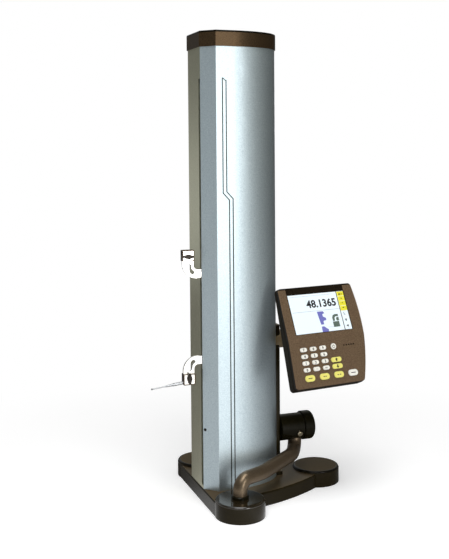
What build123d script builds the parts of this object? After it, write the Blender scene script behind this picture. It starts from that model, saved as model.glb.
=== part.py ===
from build123d import *
from math import cos, radians, sin, sqrt, tan
import os

# A column height gauge on an air-cushion base. Millimetres, +Z up, z = 0 on the surface plate.
# The origin is midway between the two probe-side lobes, -X is the way the probe points,
# +X the handwheel side, and the operator stands on the -Y side.

# General clearances
running_gap = 0.05        # radial, shaft in bearing
free_gap = 0.35           # between pieces that pass each other

# Base casting: three lobes joined by a web
lobe_radius = 54.6
lobe_spread = 138.6       # from the middle to each probe-side lobe
rear_lobe_x = 243.0
lobe_height = 33.0
web_height = 31.0
web_front_inset = 1.1     # the web's straight front, inside the probe-side lobes' rims
web_waist_y = 97.5        # half width of the web where the sides bulge most
probe_lobe_meeting = (10.0, 17.6)   # where the web's side leaves a lobe, from the lobe's middle
rear_lobe_meeting = (22.0, 49.0)
web_edge_round = 3.5
foot_cap_height = 4.0
foot_cap_round = 3.6
pad_margin = 14.6         # from the pad's rim to the lobe's rim
pad_depth = 8.0

# Column profile, closed by a front cover and a top cap
column_top = 1010.0
front_x = -51.5           # outer face of the front
front_half = 44.0         # half width of the flat front
chamfer_leg = 27.5
flank_end_x = 20.0        # where the flat flank turns into the round back
back_depth = 119.0        # from there to the rearmost point
wall = 5.0
web_x = 20.0              # front face of the cross web inside
web_thickness = 6.0
screw_channel_radius = 8.0
screw_bore_radius = 3.4
rear_channel_reach = 75.0  # from the start of the round back
bolt_radius = 3.2
bolt_head_radius = 6.5
bolt_head_height = 8.0
bolt_grip = 26.0          # length of bolt in the column
cover_thickness = 3.0
land_width = 18.0         # ledge that the cover's far edge sits on
cover_flange_depth = 11.5
slot_width = 12.5
slot_bottom_rise = 7.0    # above the base's web
slot_top_drop = 69.0      # below the column's top
cap_height = 35.0
cap_overhang = 2.3
cap_round = 3.0
cap_wall = 4.0

# Rear post, which carries the handwheel hub and the display hub
post_stand = 8.0          # behind the column
post_half_width = 18.0
post_top_z = 380.0
post_corner = 7.0
post_foot_flare = 4.0
post_foot_height = 8.0

# Handwheel, its shaft and hub
wheel_axis_z = 135.0
hub_radius = 30.0
hub_end_x = 204.0
wheel_radius = 33.0
wheel_length = 26.0
wheel_round = 7.0
wheel_recess_radius = 20.0
wheel_recess_depth = 1.5
shaft_radius = 6.0
shaft_clearance = 2.0     # radial, where the shaft only passes through
bearing_radius = 11.0
bearing_width = 7.0
button_radius = 7.0
button_travel = 3.0
button_stand = 4.5        # how far the button stands out of the hub
button_length = 12.0
button_setback = 14.0     # from the hub's end
button_angle = 200.0      # about +X from +Y, so the button looks towards the operator and down

# Lifting handle: a bent tube
tube_radius = 15.7
tube_wall = 2.5
tube_elbow_z = 76.0
tube_elbow_bend = 24.0
tube_middle = (62.0, -115.0, 77.5)
tube_middle_bend = 110.0
tube_outer = (160.0, -50.0, 86.0)
tube_outer_bend = 60.0
tube_end_setback = 16.2   # from the hub's end
tube_end_y = -3.0
tube_end_bend = 25.0
tube_socket = 13.0        # length of tube inside the hub
collar_height = 7.0
collar_thickness = 3.0

# Guide rail and carriage, drawn with the carriage a little below half way up
rail_width = 24.0
rail_depth = 22.0
rail_groove = 3.0
rail_bottom_rise = 30.0   # above the drive pulley's axis
rail_top_drop = 75.0      # below the column's top
block_half_width = 20.0
block_height = 45.0
block_zs = (425.0, 508.0)
block_front = 10.0        # block metal in front of the rail
plate_thickness = 10.0
plate_half_width = 20.0
pocket_width = 34.0       # lightening window in the plate
pocket_height = 84.0
carriage_bottom_z = 299.0
carriage_top_z = 566.0
spine_y = -42.0
spine_thickness = 7.0
spine_setback = 2.0       # the spine's edge inside the front face
lower_lug_height = 42.0   # the spine reaches into the slot only beside each arm
upper_lug_height = 73.0

# Probe holders: a curved arm and a clamp block each
arm_thickness = 6.0
arm_root = 17.0           # height of the arm where it leaves the slot
arm_reach = 43.5          # from the front face to the arm's outer edge
arm_band = 11.0
arm_drop = 44.0           # from the root's outer edge to the clamp block
arm_root_upper_z = 505.0  # lower edge of the upper arm at the slot
arm_root_lower_z = 329.0  # upper edge of the lower arm at the slot
block_reach = 44.5
clamp_width = 27.0
clamp_height = 24.5
clamp_thickness = 15.0
clamp_bore_radius = 4.0
key_length = 24.0
key_width = 11.0
key_thickness = 5.0
key_stem_radius = 3.0
stylus_slope = 6.5        # degrees below level
stylus_length = 73.0
stylus_shank_radius = 3.3
stylus_step = 38.0
stylus_neck_radius = 1.2
stylus_ball_radius = 2.0

# Belt drive and counterweight
pulley_radius = 28.0      # to the middle of the belt
pulley_width = 10.0
pulley_x = 5.0            # middle of the belt
belt_width = 8.0
belt_thickness = 1.6
pulley_teeth = 30
tooth_depth = 0.9
idler_drop = 40.0         # below the column's top
idler_pin_radius = 4.0
idler_bracket_half = 12.0
counterweight_length = 260.0
counterweight_z = 587.0
counterweight_back_x = 2.0
counterweight_depth = 28.0
counterweight_inner_y = 31.0
counterweight_outer_y = 60.0
belt_grip_height = 24.0
belt_grip_z = 443.0

# Scale, reading head, power and air
scale_y = -44.5
scale_width = 11.0
scale_thickness = 4.0
head_gap = 1.5
head_height = 50.0
battery_size = (52.0, 76.0, 78.0)
battery_x = 59.0
pump_radius = 24.0
pump_length = 46.0
pump_z = 215.0

# Display housing. Its own directions: u to the right, v down the face, w out of the face
screen_offset = (-44.2, -8.0, 110.2)   # the screen's top left corner from the swivel's middle
display_swivel = 8.12     # degrees to the operator's right
screen_lean = 25.3        # degrees that the screen leans back
keypad_lean = 19.3
screen_width = 150.4
screen_height = 91.9
fold_drop = 15.1          # from the screen to where the face bends
housing_top_v = -17.8
housing_bottom_margin = 20.7   # below the wide keys' middle line
housing_left_top_u = -21.8
housing_left_bottom_u = -26.7
housing_right_top_u = 176.0
housing_right_middle_u = 181.2
housing_right_bottom_u = 156.5
housing_corner = 8.0
housing_top_depth = 13.0
housing_bottom_depth = 26.0
shell_wall = 2.5
face_thickness = 3.0
front_shell_depth = 8.0
face_round = 2.0
window_lap = 2.0          # glass beyond the picture
housing_bow_v = 83.0      # where the right side bulges most
rear_shell_proud = 0.8    # the rear shell stands out round the front one
window_thickness = 1.2
window_corner = 2.0
window_gap = 0.2          # round the glass and over it

# Keys
key_gap = 0.4
key_travel = 1.0
key_stand = 1.6
key_length_total = 4.4
key_round = 0.6
number_key_size = (17.2, 9.2)
number_key_u = 9.4
number_key_drop = 18.3    # from the bend to the first row
number_key_pitch = (25.3, 14.8)
power_key_diameter = 13.4
power_key_reach = 28.9    # from the last column of number keys
arrow_key_size = (27.0, 10.8)
arrow_key_reach = 30.0
wide_key_size = (25.0, 13.8)
wide_key_u = 13.5
wide_key_drop = 18.6      # from the last row of number keys
wide_key_pitch = 38.2
speaker_hole_radius = 1.9
speaker_holes = 5
speaker_hole_pitch = 6.5
speaker_hole_reach = 29.1  # from the round key to the first hole

# Display joint: a hub on the post, a yoke that tilts on it, a swivel pin
display_hub_drop = 35.0    # below the post's top
display_hub_radius = 21.0
display_hub_length = 25.0
display_hub_wrap = 13.0    # how far the hub reaches forward round the post
trunnion_radius = 8.0
trunnion_length = 17.0
yoke_length = 28.0
yoke_arm_width = 20.0
yoke_arm_height = 20.0
swivel_reach = 39.0       # behind the post
swivel_y = -62.0
swivel_barrel_radius = 11.0
swivel_barrel_height = 28.0
swivel_pin_radius = 4.0
lug_thickness = 8.0
lug_gap = 0.5
lug_length = 36.0

# Worked-out sizes
foot_top = lobe_height + foot_cap_height
web_front_x = web_front_inset - lobe_radius
pad_radius = lobe_radius - pad_margin
front_lobe = (0, -lobe_spread)
lobes = {"left": (0, lobe_spread), "front": front_lobe, "rear": (rear_lobe_x, 0)}
flank_y = front_half + chamfer_leg
shoulder_x = front_x + chamfer_leg
slot_far_y = -front_half + slot_width
rail_front_x = web_x - rail_depth
plate_back_x = rail_front_x - block_front
plate_front_x = plate_back_x - plate_thickness
spine_front_x = front_x + spine_setback
arm_y = spine_y + arm_thickness / 2
belt_inner = pulley_radius - belt_thickness / 2
column_wall_back = flank_end_x + back_depth
post_back_x = column_wall_back + post_stand
slot_bottom_z = web_height + slot_bottom_rise
slot_top_z = column_top - slot_top_drop
rail_bottom_z = wheel_axis_z + rail_bottom_rise
rail_top_z = column_top - rail_top_drop
idler_z = column_top - idler_drop
wheel_start_x = hub_end_x + free_gap
button_x = hub_end_x - button_setback
tube_end_x = hub_end_x - tube_end_setback
display_hub_z = post_top_z - display_hub_drop
swivel_x = post_back_x + swivel_reach
swivel_z = display_hub_z
screen_corner = (swivel_x + screen_offset[0], swivel_y + screen_offset[1], swivel_z + screen_offset[2])
fold_v = screen_height + fold_drop
number_key_v = fold_v + number_key_drop
last_row_v = number_key_v + 3 * number_key_pitch[1]
wide_key_v = last_row_v + wide_key_drop
housing_bottom_v = wide_key_v + housing_bottom_margin
last_column_u = number_key_u + 2 * number_key_pitch[0]
power_key_u = last_column_u + power_key_reach
arrow_key_u = last_column_u + arrow_key_reach
front_channel_x = web_x - screw_channel_radius + 1
rear_channel_x = flank_end_x + rear_channel_reach
screw_channels = [(front_channel_x, 1), (front_channel_x, -1), (rear_channel_x, 1), (rear_channel_x, -1)]


def back_half_width(x, inset=0.0):
    """Half width of the round back at x."""
    share = (x - flank_end_x) / (back_depth - inset)
    return (flank_y - inset) * sqrt(max(0.0, 1 - share * share))


def channel_y(x, side):
    """A screw channel sits against the column's inner wall."""
    if x < flank_end_x:
        return side * (flank_y - wall - screw_channel_radius + 1)
    return side * (back_half_width(x, wall) - screw_channel_radius + 1)


def box(x0, x1, y0, y1, z0, z1):
    """A block between two corners."""
    block = Box(x1 - x0, y1 - y0, z1 - z0)
    return Pos((x0 + x1) / 2, (y0 + y1) / 2, (z0 + z1) / 2) * block


def rod(radius, x0, x1, y=0.0, z=0.0):
    """A cylinder along X."""
    turned = Rot(0, 90, 0) * Cylinder(radius, x1 - x0)
    return Pos((x0 + x1) / 2, y, z) * turned


def upright(radius, x, y, z0, z1):
    """A cylinder along Z."""
    return Pos(x, y, (z0 + z1) / 2) * Cylinder(radius, z1 - z0)


def column_outline(inset=0.0):
    """The column's section: flat front, chamfers, flanks and half-ellipse back."""
    x0 = front_x + inset
    y_front = front_half - inset * (sqrt(2) - 1)
    x_shoulder = shoulder_x + inset * (sqrt(2) - 1)
    y_flank = flank_y - inset
    near = Polyline((x0, -y_front), (x_shoulder, -y_flank), (flank_end_x, -y_flank))
    quarters = [EllipticalCenterArc((flank_end_x, 0), back_depth - inset, y_flank, start_angle=start,
                                    arc_size=90).edge() for start in (-90, 0)]
    far = Polyline((flank_end_x, y_flank), (x_shoulder, y_flank), (x0, y_front))
    front = Line((x0, y_front), (x0, -y_front))
    return make_face(Wire([*near.edges(), *quarters, *far.edges(), front.edge()]))


def prism(face, z0, z1):
    """A flat face at z = 0 raised between two heights."""
    return Pos(0, 0, z0) * extrude(face, amount=z1 - z0, dir=(0, 0, 1))


# Base
def web_outline():
    """The web between the lobes: a straight front and two bowed sides."""
    corner_y = lobe_spread - sqrt(lobe_radius**2 - web_front_x**2) + 1.0
    start = (probe_lobe_meeting[0], lobe_spread - probe_lobe_meeting[1])
    end = (rear_lobe_x - rear_lobe_meeting[0], rear_lobe_meeting[1])
    edges = []
    for side in (1, -1):
        bow = ThreePointArc((start[0], side * start[1]), (rear_lobe_x / 2, side * web_waist_y),
                            (end[0], side * end[1]))
        edges += bow.edges()
        edges += Polyline((web_front_x, side * corner_y), (0, side * lobe_spread),
                          (start[0], side * start[1])).edges()
        edges += Line((end[0], side * end[1]), (rear_lobe_x, 0)).edges()
    edges += Line((web_front_x, corner_y), (web_front_x, -corner_y)).edges()
    return make_face(Wire.combine(edges)[0])


def base_casting():
    web = extrude(web_outline(), amount=web_height)
    web = fillet(web.faces().sort_by(Axis.Z)[-1].edges(), web_edge_round)
    casting = web
    for x, y in lobes.values():
        lobe = upright(lobe_radius, x, y, 0, lobe_height)
        lobe = chamfer(lobe.edges().group_by(Axis.Z)[-1], 0.8)
        casting += lobe
    for x, y in lobes.values():
        casting -= upright(pad_radius, x, y, -1, pad_depth)
    for x, side in screw_channels:
        y = channel_y(x, side)
        casting -= upright(bolt_radius, x, y, -1, web_height + 1)
        casting -= upright(bolt_head_radius, x, y, -1, bolt_head_height + 2)
    return casting


def foot_cap(x, y, hole=0.0):
    cap = upright(lobe_radius - 0.8, x, y, lobe_height, foot_top)
    cap = fillet(cap.edges().group_by(Axis.Z)[-1], foot_cap_round)
    if hole:
        cap -= upright(hole, x, y, lobe_height - 1, foot_top + 1)
    return cap


def air_pads():
    return Compound([upright(pad_radius - 0.05, x, y, 0, pad_depth) for x, y in lobes.values()])


def column_bolts():
    bolts = []
    for x, side in screw_channels:
        y = channel_y(x, side)
        seat = bolt_head_height + 2
        bolt = upright(bolt_radius - 0.1, x, y, seat, web_height + bolt_grip)
        bolt += upright(bolt_head_radius - 0.3, x, y, 2, seat)
        bolt -= Pos(x, y, 2) * extrude(RegularPolygon(2.9, 6), amount=4)
        bolts.append(bolt)
    return Compound(bolts)


# Column
def column_section():
    """The extrusion's section: a shell with a cross web, screw channels and an open front."""
    section = column_outline() - column_outline(wall)
    land_top = front_half + wall
    land = Pos(front_x + cover_thickness + wall / 2, land_top - (land_width + wall) / 2)
    section += (land * Rectangle(wall, land_width + wall)) & column_outline()
    section += Pos(web_x + web_thickness / 2, 0) * Rectangle(web_thickness, 2 * flank_y - wall)
    for x, side in screw_channels:
        section += Pos(x, channel_y(x, side)) * Circle(screw_channel_radius)
    opening = 2 * front_half - land_width
    section -= Pos(front_x + wall / 2 + 3, -front_half + opening / 2) * Rectangle(wall + 10, opening)
    section -= Pos(front_x + cover_thickness / 2 - 5, 0) * Rectangle(cover_thickness + 10, 2 * front_half)
    for x, side in screw_channels:
        section -= Pos(x, channel_y(x, side)) * Circle(screw_bore_radius)
    return section


def column_profile():
    column = prism(column_section(), web_height, column_top)
    column -= rod(bearing_radius, web_x - 1, web_x + web_thickness + 1, z=wheel_axis_z)
    column -= rod(shaft_radius + shaft_clearance, column_wall_back - 20, column_wall_back + 5, z=wheel_axis_z)
    return column


def front_cover():
    plate = box(front_x, front_x + cover_thickness, -front_half, front_half, web_height, column_top)
    plate -= box(front_x - 1, front_x + cover_thickness + 1, -front_half - 1, slot_far_y,
                 slot_bottom_z, slot_top_z)
    flange = box(front_x, front_x + cover_flange_depth, slot_far_y, slot_far_y + cover_thickness,
                 slot_bottom_z, slot_top_z)
    return plate + flange


def column_cap():
    cap = prism(column_outline(-cap_overhang), column_top, column_top + cap_height)
    cap = fillet(cap.faces().sort_by(Axis.Z)[-1].edges(), cap_round)
    cap -= prism(column_outline(wall + 1), column_top - 1, column_top + cap_height - cap_wall)
    return cap


# Rear post and hubs
def post_section(extra=0.0):
    width = 2 * (post_half_width + extra)
    depth = post_back_x + extra - (column_wall_back - 20)
    slab = Pos(post_back_x + extra - depth / 2, 0) * Rectangle(depth, width)
    slab = fillet(slab.vertices().group_by(Axis.X)[-1], post_corner)
    return slab - column_outline()


def rear_post():
    post = prism(post_section(), web_height, post_top_z)
    post += prism(post_section(post_foot_flare), web_height, web_height + post_foot_height)
    post -= rod(shaft_radius + shaft_clearance, column_wall_back - 20, post_back_x + 5, z=wheel_axis_z)
    return post


def button_place(length_from_axis):
    """Location on the hub's radius that the button slides along."""
    angle = radians(button_angle)
    out = Vector(0, cos(angle), sin(angle))
    centre = Vector(button_x, 0, wheel_axis_z) + out * length_from_axis
    return Plane(origin=centre, x_dir=(1, 0, 0), z_dir=out)


def handwheel_hub():
    hub = rod(hub_radius, post_back_x, hub_end_x, z=wheel_axis_z)
    hub = chamfer(hub.edges().group_by(Axis.X)[-1], 1.0)
    hub -= rod(shaft_radius + shaft_clearance, post_back_x - 1, hub_end_x + 1, z=wheel_axis_z)
    hub -= rod(bearing_radius, hub_end_x - bearing_width, hub_end_x + 1, z=wheel_axis_z)
    pocket = extrude(button_place(hub_radius + 5) * Circle(button_radius + free_gap), amount=-20.5)
    return hub - pocket - handle_solid(tube_radius)


def air_button():
    start = hub_radius + button_stand
    button = extrude(button_place(start) * Circle(button_radius), amount=-button_length)
    return fillet(button.edges().filter_by(GeomType.CIRCLE).sort_by(
        lambda e: (e.center() - Vector(button_x, 0, wheel_axis_z)).length)[-1], 2.5)


def shaft_bearings():
    rings = []
    for x in (web_x, hub_end_x - bearing_width):
        width = web_thickness if x == web_x else bearing_width
        ring = rod(bearing_radius, x, x + width, z=wheel_axis_z)
        rings.append(ring - rod(shaft_radius + running_gap, x - 1, x + width + 1, z=wheel_axis_z))
    return Compound(rings)


# Handwheel and drive
def drive_shaft():
    return rod(shaft_radius, pulley_x - pulley_width / 2 - 6, wheel_start_x + wheel_length / 2, z=wheel_axis_z)


def handwheel():
    end = wheel_start_x + wheel_length
    knob = rod(wheel_radius, wheel_start_x, end, z=wheel_axis_z)
    knob = fillet(knob.edges().group_by(Axis.X)[-1], wheel_round)
    knob = chamfer(knob.edges().group_by(Axis.X)[0], 1.0)
    knob -= rod(wheel_recess_radius, end - wheel_recess_depth, end + 1, z=wheel_axis_z)
    return knob - drive_shaft()


def toothed_pulley(bore, z):
    """A belt pulley with round-bottomed teeth and a flange each side."""
    tip = belt_inner - free_gap
    x0 = pulley_x - pulley_width / 2
    x1 = pulley_x + pulley_width / 2
    wheel = rod(tip, x0, x1, z=z)
    gap = Pos(pulley_x, 0, tip + z) * Rot(0, 90, 0) * Cylinder(tooth_depth, pulley_width + 2)
    for i in range(pulley_teeth):
        wheel -= Pos(0, 0, z) * Rot(i * 360 / pulley_teeth, 0, 0) * Pos(0, 0, -z) * gap
    return wheel - rod(bore, x0 - 1, x1 + 1, z=z)


def drive_pulley():
    x0 = pulley_x - pulley_width / 2
    wheel = toothed_pulley(shaft_radius, wheel_axis_z)
    return wheel + (rod(12, x0 - 5, x0, z=wheel_axis_z) - rod(shaft_radius, x0 - 6, x0 + 1, z=wheel_axis_z))


def idler_pulley():
    return toothed_pulley(idler_pin_radius + running_gap, idler_z)


def idler_bracket():
    block = box(web_x - 8, web_x, -idler_bracket_half, idler_bracket_half, rail_top_z + 5, column_top - 6)
    pin = rod(idler_pin_radius, pulley_x - pulley_width / 2 - 1.5, web_x - 7, z=idler_z)
    step = rod(idler_pin_radius + 3, pulley_x + pulley_width / 2 + free_gap, web_x - 7, z=idler_z)
    return block + pin + step


def drive_belt():
    """A closed loop round both pulleys."""
    def loop(radius):
        flat = SlotCenterToCenter(idler_z - wheel_axis_z, 2 * radius, rotation=90)
        return Pos(0, (idler_z + wheel_axis_z) / 2) * flat
    ring = loop(pulley_radius + belt_thickness / 2) - loop(belt_inner)
    plane = Plane(origin=(pulley_x - belt_width / 2, 0, 0), x_dir=(0, 1, 0), z_dir=(1, 0, 0))
    return extrude(plane * ring, amount=belt_width)


def belt_grip(y, z):
    """A split jaw around the belt strand at y."""
    jaw = box(pulley_x - belt_width / 2 - 3, pulley_x + belt_width / 2 + 2, y - 3, y + 3,
              z - belt_grip_height / 2, z + belt_grip_height / 2)
    gap = belt_thickness / 2 + free_gap
    return jaw - box(pulley_x - belt_width / 2 - free_gap, pulley_x + 99, y - gap, y + gap, z - 99, z + 99)


# Guide and carriage
def guide_rail():
    rail = box(rail_front_x, web_x, -rail_width / 2, rail_width / 2, rail_bottom_z, rail_top_z)
    for side in (1, -1):
        groove = Pos(rail_front_x + rail_depth * 0.35, side * rail_width / 2, (rail_bottom_z + rail_top_z) / 2)
        rail -= groove * Rot(0, 0, 45) * Box(rail_groove, rail_groove, rail_top_z - rail_bottom_z + 2)
    return rail


def bearing_blocks():
    blocks = []
    for z in block_zs:
        block = box(plate_back_x, web_x - 6, -block_half_width, block_half_width, z, z + block_height)
        block -= box(rail_front_x - free_gap, web_x, -rail_width / 2 - free_gap, rail_width / 2 + free_gap,
                     z - 1, z + block_height + 1)
        blocks.append(block)
    return Compound(blocks)


def carriage_plate():
    plate = box(plate_front_x, plate_back_x, spine_y, plate_half_width, carriage_bottom_z, carriage_top_z)
    spine = box(spine_front_x, plate_back_x, spine_y, spine_y + spine_thickness, carriage_bottom_z,
                carriage_top_z)
    spine -= box(spine_front_x - 1, plate_front_x, spine_y - 1, spine_y + spine_thickness + 1,
                 carriage_bottom_z + lower_lug_height, carriage_top_z - upper_lug_height)
    carriage = plate + spine
    pocket_z = (carriage_bottom_z + block_zs[0]) / 2
    carriage -= Pos((plate_front_x + plate_back_x) / 2, -6, pocket_z) * extrude(
        Plane.YZ * RectangleRounded(pocket_width, pocket_height, 8), amount=plate_thickness, both=True)
    return carriage


def belt_clamp():
    foot = box(plate_back_x, pulley_x - belt_width / 2 - 3, -pulley_radius - 3, -pulley_radius + 3,
               belt_grip_z - belt_grip_height / 2, belt_grip_z + belt_grip_height / 2)
    return foot + belt_grip(-pulley_radius, belt_grip_z)


def glass_scale():
    return box(web_x - scale_thickness, web_x, scale_y - scale_width / 2, scale_y + scale_width / 2,
               rail_bottom_z, rail_top_z)


def reading_head():
    back = web_x - scale_thickness - head_gap
    z = block_zs[0]
    head = box(plate_back_x, back, scale_y - scale_width / 2, spine_y + spine_thickness, z, z + head_height)
    head -= box(back - 6, back + 1, scale_y - 4, scale_y + 4, z + 12, z + head_height - 12)
    return head


def counterweight():
    y0, y1 = counterweight_inner_y, counterweight_outer_y
    z0 = counterweight_z - counterweight_length / 2
    bar = box(counterweight_back_x - counterweight_depth, counterweight_back_x, y0, y1,
              z0, z0 + counterweight_length)
    bar = chamfer(bar.edges().group_by(Axis.Z)[-1] + bar.edges().group_by(Axis.Z)[0], 2)
    grip = belt_grip(pulley_radius, counterweight_z)
    grip += box(pulley_x - belt_width / 2 - 3, counterweight_back_x, pulley_radius + 2, y0 + 2,
                counterweight_z - belt_grip_height / 2, counterweight_z + belt_grip_height / 2)
    return bar + grip


def battery_pack():
    dx, dy, dz = battery_size
    pack = box(battery_x - dx / 2, battery_x + dx / 2, -dy / 2, dy / 2, web_height, web_height + dz)
    return fillet(pack.edges().filter_by(Axis.Z), 5)


def air_pump():
    start = web_x + web_thickness
    pump = rod(pump_radius, start, start + pump_length, z=pump_z)
    pump = chamfer(pump.edges().group_by(Axis.X)[-1], 3)
    pump += upright(5, start + pump_length * 0.7, 0, pump_z, pump_z + pump_radius + 10)
    return pump


# Lifting handle
def handle_path():
    corners = [(*front_lobe, lobe_height), (*front_lobe, tube_elbow_z), tube_middle, tube_outer,
               (tube_end_x, tube_end_y, tube_outer[2] + 1.0),
               (tube_end_x, tube_end_y, wheel_axis_z - hub_radius + tube_socket)]
    bends = [tube_elbow_bend, tube_middle_bend, tube_outer_bend, tube_end_bend]
    return FilletPolyline(*corners, radius=bends)


def handle_solid(radius):
    return sweep(Plane(origin=(*front_lobe, lobe_height)) * Circle(radius), path=handle_path())


def handle_tube():
    ring = Circle(tube_radius) - Circle(tube_radius - tube_wall)
    return sweep(Plane(origin=(*front_lobe, lobe_height)) * ring, path=handle_path())


def handle_collar():
    x, y = front_lobe
    collar = upright(tube_radius + collar_thickness, x, y, foot_top, foot_top + collar_height)
    collar = chamfer(collar.edges().group_by(Axis.Z)[-1], 1.5)
    return collar - upright(tube_radius, x, y, lobe_height, foot_top + collar_height + 1)


# Probe holders, drawn in the XZ plane; up is +1 for the upper one and -1 for the lower one
def arm_outline(root_z, up):
    """A curved bracket from the slot out to the clamp block, with a bean-shaped window."""
    x_root = spine_front_x
    x_out = front_x - arm_reach
    z_far = root_z + up * (arm_drop + arm_root)
    outer_turn = 32.0
    inner_x = x_out + clamp_width - 2
    edge = [
        Line((x_root, root_z), (x_out + outer_turn, root_z - up * 2)),
        TangentArc((x_out + outer_turn, root_z - up * 2), (x_out, root_z - up * 2 + up * outer_turn),
                   tangent=(-1, up * 0.05)),
        Line((x_out, root_z - up * 2 + up * outer_turn), (x_out, z_far - up * clamp_height)),
        Line((x_out, z_far - up * clamp_height), (inner_x, z_far - up * clamp_height)),
        Line((inner_x, z_far - up * clamp_height), (inner_x, root_z + up * (arm_root + 9))),
        ThreePointArc((inner_x, root_z + up * (arm_root + 9)),
                      (inner_x + 3.5, root_z + up * (arm_root + 2.2)),
                      (inner_x + 11, root_z + up * arm_root)),
        Line((inner_x + 11, root_z + up * arm_root), (x_root, root_z + up * arm_root)),
        Line((x_root, root_z + up * arm_root), (x_root, root_z)),
    ]
    face = make_face(Wire([e.edge() for e in edge]))
    bean = make_face(Wire([
        Spline((x_out + arm_band, root_z + up * 27), (x_out + arm_band + 4, root_z + up * 14),
               (x_out + arm_band + 14, root_z + up * 7), (x_out + arm_band + 17, root_z + up * 11),
               (x_out + arm_band + 11, root_z + up * 18), (x_out + arm_band + 9, root_z + up * 27),
               (x_out + arm_band + 4, root_z + up * 31), periodic=True).edge()]))
    return face - bean


def arm(root_z, up):
    plane = Plane(origin=(0, spine_y + arm_thickness, 0), x_dir=(1, 0, 0), z_dir=(0, -1, 0))
    return extrude(plane * arm_outline(root_z, up), amount=arm_thickness)


def clamp_centre(root_z, up):
    """Middle of the clamp block, in X and Z."""
    x = front_x - block_reach + clamp_width / 2
    return x, root_z + up * (arm_drop + arm_root - clamp_height / 2)


def clamp_block(root_z, up, bore_slope):
    x, z = clamp_centre(root_z, up)
    block = box(x - clamp_width / 2, x + clamp_width / 2, arm_y - clamp_thickness / 2,
                arm_y + clamp_thickness / 2, z - clamp_height / 2, z + clamp_height / 2)
    block = chamfer(block.edges().filter_by(Axis.Y), 1.0)
    bore_z = z + up * clamp_height / 4
    bore = Pos(x, arm_y, bore_z) * Rot(0, -bore_slope, 0) * Rot(0, 90, 0) * Cylinder(
        clamp_bore_radius if bore_slope == 0 else stylus_shank_radius, clamp_width * 2)
    stem = Pos(x, arm_y - clamp_thickness / 2, z - up * 2) * Rot(90, 0, 0) * Cylinder(
        key_stem_radius + free_gap, 12)
    return block - bore - stem


def clamp_key(root_z, up, turned):
    x, z = clamp_centre(root_z, up)
    face_y = arm_y - clamp_thickness / 2 - free_gap
    plane = Plane(origin=(x, face_y, z - up * 2), x_dir=(1, 0, 0), z_dir=(0, -1, 0))
    lozenge = make_hull((Pos(key_length / 2 - 2.5, 0) * Circle(2.5)).edges()
                        + (Pos(-key_length / 2 + 2.5, 0) * Circle(2.5)).edges()
                        + Circle(key_width / 2).edges())
    head = extrude(plane * Rot(0, 0, turned) * lozenge, amount=key_thickness)
    head = chamfer(head.faces().sort_by(Axis.Y)[0].edges(), 1.2)
    stem = extrude(plane * Circle(key_stem_radius), amount=-5)
    return head + stem


def probe_stylus():
    """A stepped shank through the lower clamp with a small ball at its tip."""
    x, z = clamp_centre(arm_root_lower_z, -1)
    z -= clamp_height / 4
    half = clamp_width / 2
    profile = Polyline((0, 0), (stylus_shank_radius, 0), (stylus_shank_radius, half * 2 + 22),
                       (stylus_shank_radius * 0.8, half * 2 + 26),
                       (stylus_shank_radius * 0.62, half * 2 + stylus_step),
                       (stylus_neck_radius, half * 2 + stylus_step + 6),
                       (stylus_neck_radius, half * 2 + stylus_length - stylus_ball_radius),
                       (0, half * 2 + stylus_length - stylus_ball_radius), close=True)
    stem = revolve(make_face(Plane.XZ * profile), Axis.Z)
    stem += Pos(0, 0, half * 2 + stylus_length - stylus_ball_radius) * Sphere(stylus_ball_radius)
    turned = Rot(0, -stylus_slope, 0) * Rot(0, -90, 0) * Pos(0, 0, -half) * stem
    return Pos(x, arm_y, z) * turned


# Display
def face_directions(lean):
    swivel, tilt = radians(display_swivel), radians(lean)
    right = Vector(cos(swivel), sin(swivel), 0)
    out = Vector(sin(swivel) * cos(tilt), -cos(swivel) * cos(tilt), sin(tilt))
    return right, out


screen_right, screen_out = face_directions(screen_lean)
screen_plane = Plane(origin=screen_corner, x_dir=screen_right, z_dir=screen_out)
keypad_out = face_directions(keypad_lean)[1]
fold_point = screen_plane.from_local_coords((0, -fold_v, 0))
keypad_plane = Plane(origin=fold_point, x_dir=screen_right, z_dir=keypad_out)
fold = screen_lean - keypad_lean


def housing_outline(inset=0.0):
    """The housing seen square on: straight left side, bowed right side."""
    top, bottom = -housing_top_v - inset, -housing_bottom_v + inset
    left_top, left_bottom = housing_left_top_u + inset, housing_left_bottom_u + inset
    right = ThreePointArc((housing_right_top_u - inset, top), (housing_right_middle_u - inset, -housing_bow_v),
                          (housing_right_bottom_u - inset, bottom))
    rest = Polyline((housing_right_bottom_u - inset, bottom), (left_bottom, bottom), (left_top, top),
                    (housing_right_top_u - inset, top))
    face = make_face(Wire([right.edge(), *rest.edges()]))
    return fillet(face.vertices(), max(1.0, housing_corner - inset))


def folded_line(depth):
    """Side view of the face, or of a surface at a depth below it: top, fold and bottom."""
    top, bottom = housing_top_v - housing_corner, housing_bottom_v + housing_corner
    return [(top, -depth), (fold_v, -depth), (bottom, -depth - (bottom - fold_v) * tan(radians(fold)))]


def straight_line(top_depth, bottom_depth):
    """Side view of the flat back: top and bottom."""
    top, bottom = housing_top_v - housing_corner, housing_bottom_v + housing_corner
    drop = (bottom - fold_v) * tan(radians(fold))
    return [(top, -top_depth), (bottom, -bottom_depth - drop)]


def housing_solid(inset, front, back):
    """The part of the housing between two surfaces, in its own directions."""
    body = extrude(housing_outline(inset), amount=housing_right_middle_u, both=True)
    plane = Plane(origin=(2 * housing_left_bottom_u, 0, 0), x_dir=(0, -1, 0), z_dir=(-1, 0, 0))
    side = make_face(Polyline(*front, *reversed(back), close=True))
    return body & extrude(plane * side, amount=-2 * housing_right_middle_u)


def window_size():
    """The glass covers the picture and the dark band above it."""
    width = screen_width + 2 * window_lap
    height = screen_height - housing_top_v - window_lap
    return width, height


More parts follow.
